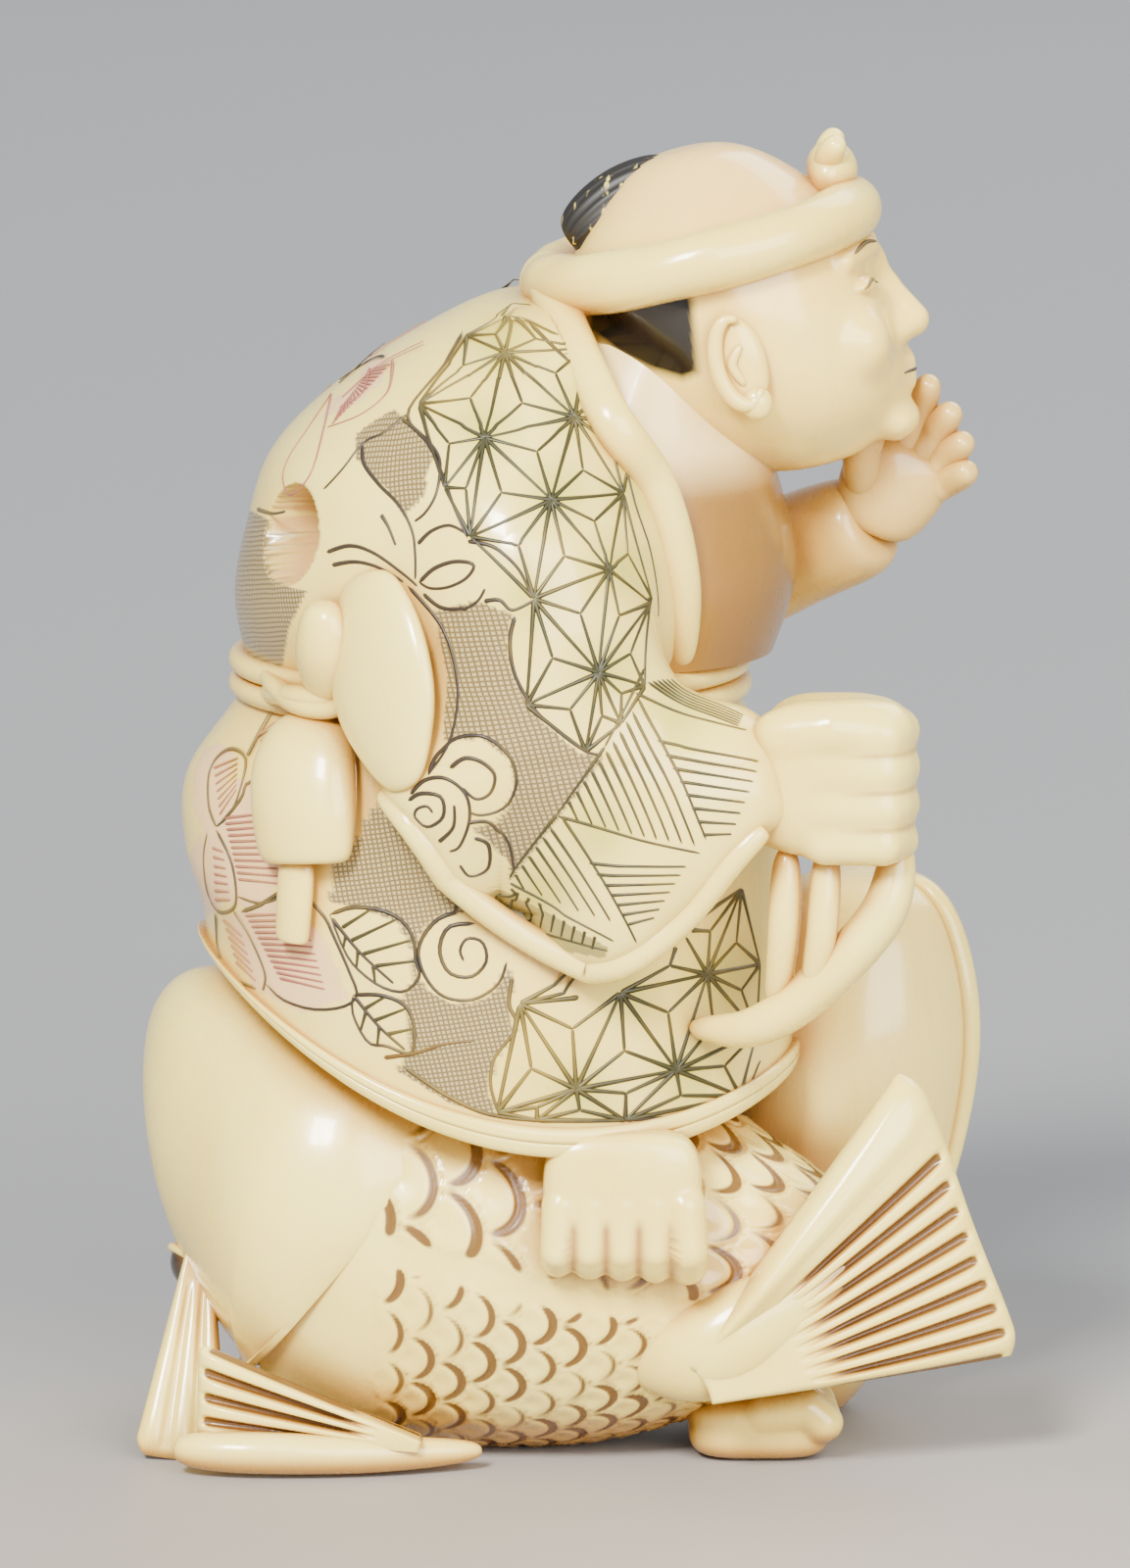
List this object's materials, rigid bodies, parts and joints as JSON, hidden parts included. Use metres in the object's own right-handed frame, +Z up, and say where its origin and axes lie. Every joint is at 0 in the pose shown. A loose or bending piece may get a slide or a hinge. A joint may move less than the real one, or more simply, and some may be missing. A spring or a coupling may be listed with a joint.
{
  "type": "netsuke figure",
  "caption": "Small carved netsuke of a robed fisherman astride a large sea bream, with two cord holes that meet inside the back of the robe.",
  "frame": {"origin": "on the resting plane, under the middle of the carving", "axes": "+X the way the man faces, +Y away from the viewer, +Z up"},
  "size_m": [0.0313, 0.024, 0.0467],
  "materials": {
    "ivory": "polished creamy ivory, warm stain in the hollows",
    "dark_inlay": "polished dark bead",
    "black_paint": "worn black paint on carved hair"
  },
  "bodies": {
    "root": {"fish_body": "ivory", "fish_head": "ivory", "fish_eyes": "dark_inlay", "tail_fin": "ivory", "near_pectoral_fin": "ivory", "far_pectoral_fin": "ivory", "skirt": "ivory", "hem_band": "ivory", "upper_robe": "ivory", "collar": "ivory", "chest": "ivory", "near_sleeve": "ivory", "near_cuff": "ivory", "near_fist": "ivory", "rope_loop": "ivory", "rope_strands": "ivory", "far_sleeve": "ivory", "far_forearm": "ivory", "far_hand": "ivory", "head": "ivory", "ears": "ivory", "headband": "ivory", "headband_knot": "ivory", "topknot": "black_paint", "near_foot": "ivory", "far_leg": "ivory", "far_foot": "ivory", "belt_cord": "ivory", "pipe_case": "ivory", "tobacco_pouch": "ivory", "pouch_strap": "ivory"}
  },
  "joints": []
}
